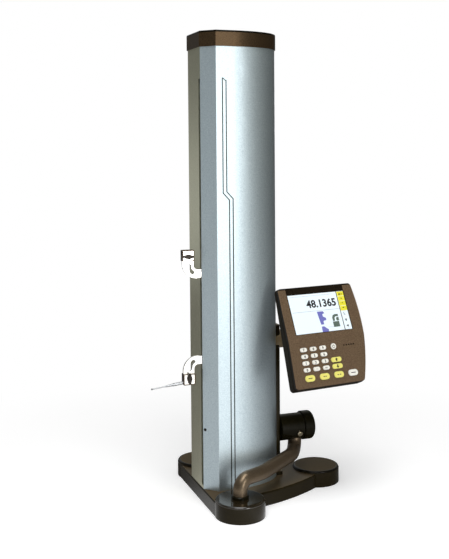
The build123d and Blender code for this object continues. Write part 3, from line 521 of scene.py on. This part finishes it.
def lettering(name, text, height, place, material, body, stretch=1.0, depth=0.03):
    """Text as a mesh of a real height, a little bold, centred on a place."""
    curve = bpy.data.curves.new(name, "FONT")
    curve.body = text
    curve.align_x = "CENTER"
    curve.size = 1.0
    curve.offset = 0.03        # swells the strokes
    curve.extrude = 0.5        # one unit thick, which depth then scales
    curve.resolution_u = 3
    holder = bpy.data.objects.new(name + "_text", curve)
    bpy.context.scene.collection.objects.link(holder)
    drawn = holder.evaluated_get(bpy.context.evaluated_depsgraph_get())
    mesh = bpy.data.meshes.new_from_object(drawn)
    mesh.name = name
    bpy.data.objects.remove(holder)
    lowest, highest = (f(v.co.y for v in mesh.vertices) for f in (min, max))
    left, far = (f(v.co.x for v in mesh.vertices) for f in (min, max))
    scale = height * MM / (highest - lowest)
    centre = Matrix.Translation((-(left + far) / 2, -(lowest + highest) / 2, 0))
    size = Matrix.Diagonal((scale * stretch, scale, depth * MM, 1))
    mesh.transform(place @ size @ centre)
    return new_piece(name, mesh, material, body)


on_screen("screen_background", [rectangle(0, 0, SCREEN_WIDTH, PICTURE_BOTTOM)], 0, lcd_white)
on_screen("soft_keys_yellow",
          [rectangle(SOFT_KEY_LEFT, SOFT_KEY_PITCH * i + 0.5,
                     SCREEN_WIDTH, SOFT_KEY_PITCH * (i + 1) - 0.2) for i in range(4)],
          1, lcd_yellow)
on_screen("soft_key_divider", [rectangle(130.0, 0, 131.8, PICTURE_BOTTOM)], 1, lcd_dark)
on_screen("screen_rules", [rectangle(3, 40.2, 130, 41.0), rectangle(6, 4.4, 118, 4.9)],
          1, lcd_line)
on_screen("soft_key_marks",
          [[(136, 8.5), (139, 3.5), (142, 8.5)], rectangle(144, 4, 145.2, 8.5),
           rectangle(140.2, 16, 142.4, 18.4), rectangle(140.2, 27, 142.6, 29),
           rectangle(139, 38.4, 143.4, 40),
           [(138, 50), (139.2, 50), (139.2, 55), (142, 55), (142, 56), (138, 56)],
           [(137, 66), (143, 66), (140, 72)], [(137, 82), (143, 79), (143, 85)]],
          2, lcd_dark)
on_screen("sketch_part",
          [[(67, 43), (83, 43), (86, 48), (80, 49.5), (80, 55), (87, 59), (87, 64),
            (78.5, 65.5), (78.5, 73.5), (70.5, 73.5)],
           [(70.3, 78), (77, 78), (87.5, 86), (86.5, PICTURE_BOTTOM), (70, PICTURE_BOTTOM)]],
          1, lcd_violet)
on_screen("sketch_holder",
          [[(104, 60), (107, 54.5), (112, 52.5), (121, 52.5), (121, 58), (113, 58), (110, 61),
            (110, 68), (104, 68)],
           [(114, 61), (121, 59), (121, 68), (114, 68)], rectangle(103, 69.4, 120, 82)],
          1, lcd_green)
on_screen("sketch_line", [rectangle(88, 80.4, 103, 81)], 1, lcd_line)

READING_HEIGHT = 18.9
READING_STRETCH = 1.02
reading_middle = Vector((84.0, -23.8, PICTURE_BASE + 2 * LAYER_STEP)) * MM
lettering("screen_reading", "48.1365", READING_HEIGHT,
          screen_place @ Matrix.Translation(reading_middle), lcd_dark, "display",
          stretch=READING_STRETCH)


# Key legends
# Plain digits, arrows, a point, a sign and short bars, printed in dark grey on the keys. Each
# moves with its own key.

# Pad-printed ink: flat, dark and slightly raised.
legend_ink, tree, shader, place = start_material("legend_ink", Roughness=0.5,
                                                 Specular_IOR_Level=0.2)
mottle(tree, shader, place, ("#23201a", "#2c2922"), grain_mm=0.6, bump_mm=0.0)

DIGIT_HEIGHT = 6.0
SIGN_HEIGHTS = {".": 1.6, "+/-": 4.4}
DIGIT_DEPTH = 0.06
LEGEND_DEPTH = (-0.03, 0.04)     # from just inside the key's top to just proud of it
POWER_RING = (3.6, 2.6)          # the sign's outer and inner radius


def key_top(key):
    """The place of a key's top, its x along the row and its z out of the keypad."""
    low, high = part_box(key)
    middle = (Vector(low) + Vector(high)) / 2
    out = Vector(face_out(KEYPAD_LEAN))
    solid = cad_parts[key]
    top = max((solid.matrix_world @ v.co).dot(out) for v in solid.data.vertices)
    return standing((middle + out * (top - middle.dot(out))) / MM, face_right, out)


signs = {f"key_{digit}": str(digit) for digit in range(10)}
signs.update(key_point=".", key_sign="+/-")
for key, sign in signs.items():
    lettering(key + "_legend", sign, SIGN_HEIGHTS.get(sign, DIGIT_HEIGHT), key_top(key),
              legend_ink, key, depth=DIGIT_DEPTH)

arrow = [(-1.5, -3.6), (1.5, -3.6), (1.5, 0), (3.9, 0), (0, 4.0), (-3.9, 0), (-1.5, 0)]
round_turn = [math.radians(a) for a in range(36, 325, 12)]
power_arc = [(POWER_RING[0] * math.sin(a), POWER_RING[0] * math.cos(a)) for a in round_turn]
power_arc += [(POWER_RING[1] * math.sin(a), POWER_RING[1] * math.cos(a))
              for a in reversed(round_turn)]
shapes = {
    "key_up": [arrow],
    "key_down": [[(x, -y) for x, y in reversed(arrow)]],
    "key_enter": [rectangle(-6, -0.8, 6, 0.8)],
    "function_key_1": [rectangle(-5, -0.8, 5, 0.8)],
    "function_key_2": [rectangle(-4, -0.8, 0, 0.8), rectangle(1.2, -0.8, 4, 0.8)],
    "function_key_3": [rectangle(-5, -0.8, -1, 0.8), rectangle(1, -0.8, 5, 0.8)],
    "key_power": [rectangle(-0.6, 0.5, 0.6, 4), power_arc],
}
for key, outlines in shapes.items():
    new_piece(key + "_legend",
              slab_mesh(key + "_legend", outlines, key_top(key), *LEGEND_DEPTH),
              legend_ink, key)


# Floor
# A white paper floor that keeps a soft shadow. It is lit paper near the gauge and plain white
# further off, and reflections see a bright wall and a table shining in it.

WALL_LEVEL = 1.0
WALL_AZIMUTH = math.radians(12)
WALL_FADE = math.radians(24)     # the angle over which the wall's light falls to a third
LEFT_SHINE = 0.5                 # how bright the table to the left looks in reflections
LEFT_AZIMUTH = math.radians(-70)


def towards(tree, direction, azimuth):
    """How closely a direction points to an azimuth: 1 straight at it, 0 square to it."""
    aim = (math.sin(azimuth), -math.cos(azimuth), 0)
    return add(tree, "ShaderNodeVectorMath", {0: direction, 1: aim},
               operation="DOT_PRODUCT").outputs["Value"]


def bright_wall(tree, direction):
    """The level of a soft bright wall to the operator's right, as reflections see it."""
    angle = add(tree, "ShaderNodeMath", {0: towards(tree, direction, WALL_AZIMUTH)},
                operation="ARCCOSINE")
    share = add(tree, "ShaderNodeMath", {0: angle.outputs[0], 1: -1 / WALL_FADE},
                operation="MULTIPLY")
    falloff = add(tree, "ShaderNodeMath", {0: share.outputs[0]}, operation="EXPONENT")
    return add(tree, "ShaderNodeMath", {0: falloff.outputs[0], 1: WALL_LEVEL},
               operation="MULTIPLY").outputs[0]


def left_shine(tree, direction):
    """The level of the floor and table to the left, as reflections see them."""
    ahead = add(tree, "ShaderNodeMath", {0: towards(tree, direction, LEFT_AZIMUTH), 1: 0.0},
                operation="MAXIMUM")
    return add(tree, "ShaderNodeMath", {0: ahead.outputs[0], 1: LEFT_SHINE},
               operation="MULTIPLY").outputs[0]


FLOOR_RADIUS = 4.0
FLOOR_GLOW = 0.34                # lifts the lit paper to white for the camera alone
FLOOR_WALL_SHARE = 1.8           # how much stronger the floor shows the wall than the room does
FADE_MIDDLE = (80, 0)            # below the column
FADE = (0.35, 1.1)               # the shadow fades out between these distances, in metres
WHITE = (1, 1, 1, 1)
bpy.ops.mesh.primitive_circle_add(vertices=96, radius=FLOOR_RADIUS, fill_type="NGON")
floor = bpy.context.object
floor.name = "floor"
floor_paper = bpy.data.materials.new("white_floor_paper")
floor_paper.use_nodes = True
tree = floor_paper.node_tree
tree.nodes.clear()
rays = add(tree, "ShaderNodeLightPath", {})
paper = add(tree, "ShaderNodeBsdfDiffuse", {"Color": linear("#f2f2f2")})
grey_paper = add(tree, "ShaderNodeBsdfDiffuse", {"Color": linear("#7c7c7c")})
near_paper = add(tree, "ShaderNodeMixShader", {"Fac": rays.outputs["Is Glossy Ray"],
                                               1: paper.outputs[0], 2: grey_paper.outputs[0]})
glow = add(tree, "ShaderNodeEmission", {"Color": WHITE, "Strength": FLOOR_GLOW})
seen_glow = add(tree, "ShaderNodeMixShader", {"Fac": rays.outputs["Is Camera Ray"],
                                              2: glow.outputs[0]})
near_floor = add(tree, "ShaderNodeAddShader", {0: near_paper.outputs[0],
                                               1: seen_glow.outputs[0]})
white_floor = add(tree, "ShaderNodeEmission", {"Color": WHITE, "Strength": 1.0})
far_floor = add(tree, "ShaderNodeMixShader", {"Fac": rays.outputs["Is Camera Ray"],
                                              1: near_paper.outputs[0],
                                              2: white_floor.outputs[0]})
spot = add(tree, "ShaderNodeTexCoord", {}).outputs["Object"]
far_away = add(tree, "ShaderNodeMapRange", {"Value": distance_to(tree, spot, *FADE_MIDDLE),
                                            "From Min": FADE[0], "From Max": FADE[1]},
               interpolation_type="SMOOTHSTEP")
surface = add(tree, "ShaderNodeMixShader", {"Fac": far_away.outputs[0],
                                            1: near_floor.outputs[0],
                                            2: far_floor.outputs[0]})
outward = add(tree, "ShaderNodeVectorMath", {0: spot}, operation="NORMALIZE").outputs[0]
shine = add(tree, "ShaderNodeMath", {0: bright_wall(tree, outward), 1: FLOOR_WALL_SHARE,
                                    2: left_shine(tree, outward)}, operation="MULTIPLY_ADD")
only_glossy = add(tree, "ShaderNodeMath", {0: shine.outputs[0],
                                          1: rays.outputs["Is Glossy Ray"]},
                  operation="MULTIPLY")
reflected = add(tree, "ShaderNodeEmission", {"Color": WHITE, "Strength": only_glossy.outputs[0]})
whole = add(tree, "ShaderNodeAddShader", {0: surface.outputs[0], 1: reflected.outputs[0]})
add(tree, "ShaderNodeOutputMaterial", {"Surface": whole.outputs[0]})
floor.data.materials.append(floor_paper)


# Room
# Plain white to the camera and dim to the object. Reflections also see the bright wall, the far
# floor to the left and a light ceiling behind the gauge.

AMBIENT_LEVEL = 0.16
REFLECTED_LEFT = 0.08
REFLECTED_RIGHT = 0.04
HORIZON = (0.07, -0.02)          # how far up the reflected far floor begins and is full
HORIZON_GLOW = 0.58              # what the far floor adds to the left in reflections
LEFTWARD = (0.3, -0.5)           # where that part begins and is full, from right to left
BACK_GLOW = 0.6                  # the ceiling behind the gauge, which the lobes' tops mirror
BACKWARD = (0.3, 0.8)
CEILING = (0.12, 0.4)
RIGHTWARD = (0.0, 0.9)           # over this the reflected light turns from cool to warm
world = bpy.data.worlds.new("studio")
bpy.context.scene.world = world
world.use_nodes = True
tree = world.node_tree
tree.nodes.clear()
rays = add(tree, "ShaderNodeLightPath", {})
look = add(tree, "ShaderNodeTexCoord", {}).outputs["Generated"]
direction = add(tree, "ShaderNodeSeparateXYZ", {0: look})


def share(axis, between, to_min=0.0, to_max=1.0):
    """A level that changes between two values of a direction's part along an axis."""
    return add(tree, "ShaderNodeMapRange", {"Value": direction.outputs[axis],
                                            "From Min": between[0], "From Max": between[1],
                                            "To Min": to_min, "To Max": to_max}).outputs[0]


dim_room = share("X", (-1.0, 1.0), REFLECTED_LEFT, REFLECTED_RIGHT)
level = add(tree, "ShaderNodeMath", {0: bright_wall(tree, look), 1: dim_room},
            operation="ADD")
level = add(tree, "ShaderNodeMath", {0: share("Z", HORIZON),
                                    1: share("X", LEFTWARD, to_max=HORIZON_GLOW),
                                    2: level.outputs[0]}, operation="MULTIPLY_ADD")
level = add(tree, "ShaderNodeMath", {0: share("Y", BACKWARD, to_max=BACK_GLOW),
                                    1: share("Z", CEILING), 2: level.outputs[0]},
            operation="MULTIPLY_ADD")
tint = add(tree, "ShaderNodeMix", {"Factor": share("X", RIGHTWARD), 6: (0.97, 1, 1, 1),
                                   7: (1, 0.96, 0.8, 1)}, data_type="RGBA")
ambient = add(tree, "ShaderNodeBackground", {"Color": WHITE, "Strength": AMBIENT_LEVEL})
mirrored = add(tree, "ShaderNodeBackground", {"Color": tint.outputs[2],
                                              "Strength": level.outputs[0]})
white = add(tree, "ShaderNodeBackground", {"Color": WHITE, "Strength": 1.0})
indirect = add(tree, "ShaderNodeMixShader", {"Fac": rays.outputs["Is Glossy Ray"],
                                             1: ambient.outputs[0], 2: mirrored.outputs[0]})
seen = add(tree, "ShaderNodeMath", {0: rays.outputs["Is Camera Ray"],
                                   1: rays.outputs["Is Transmission Ray"]},
           operation="MAXIMUM")
sky = add(tree, "ShaderNodeMixShader", {"Fac": seen.outputs[0], 1: indirect.outputs[0],
                                        2: white.outputs[0]})
add(tree, "ShaderNodeOutputWorld", {"Surface": sky.outputs[0]})


# Lamps and camera
# Four soft lamps at a plain level, all aimed at the column's middle, and the photograph's
# viewpoint.

COLUMN_MIDDLE = (0, 0, 0.5)


def softbox(name, azimuth, elevation, distance, width, height, level):
    """An area lamp; level is the light it puts on a surface that faces it, where 1 is full."""
    lamp = bpy.data.lights.new(name, "AREA")
    lamp.shape = "RECTANGLE"
    lamp.size = width
    lamp.size_y = height
    lamp.energy = level * (math.pi * distance) ** 2
    azimuth, elevation = math.radians(azimuth), math.radians(elevation)
    away = Vector((math.sin(azimuth) * math.cos(elevation),
                   -math.cos(azimuth) * math.cos(elevation), math.sin(elevation)))
    holder = bpy.data.objects.new(name, lamp)
    holder.location = Vector(COLUMN_MIDDLE) + away * distance
    holder.rotation_euler = away.to_track_quat("Z", "Y").to_euler()
    bpy.context.scene.collection.objects.link(holder)


# Azimuth and elevation in degrees, then distance, width and height in metres, and the level.
softbox("key", 15, 6, 3.2, 0.8, 2.2, 0.3)
softbox("key_high", -25, 55, 3.2, 1.8, 1.8, 0.42)
softbox("fill_left", -75, 60, 3.2, 2.0, 2.0, 0.12)
softbox("top", 0, 80, 3.0, 1.5, 1.5, 0.4)

CAMERA_PLACE = (-0.67778, -1.96980, 0.78528)
CAMERA_ANGLES = (19.4770, -2.5049, -0.4559)     # yaw, pitch and roll in degrees
camera_data = bpy.data.cameras.new("camera")
camera_data.sensor_width = 36.0
camera_data.lens = 59.4394
camera_data.shift_y = -0.16      # the photograph's frame lies low on its lens
camera = bpy.data.objects.new("camera", camera_data)
bpy.context.scene.collection.objects.link(camera)
bpy.context.scene.camera = camera
yaw, pitch, roll = (math.radians(a) for a in CAMERA_ANGLES)
forward = Vector((math.sin(yaw) * math.cos(pitch), math.cos(yaw) * math.cos(pitch),
                  math.sin(pitch)))
level_right = Vector((math.cos(yaw), -math.sin(yaw), 0))
level_up = level_right.cross(forward)
right = level_right * math.cos(roll) + level_up * math.sin(roll)
up = level_up * math.cos(roll) - level_right * math.sin(roll)
camera.matrix_world = Matrix.Translation(CAMERA_PLACE) @ Matrix(
    (right, up, -forward)).transposed().to_4x4()
bpy.context.scene.view_settings.view_transform = "Standard"
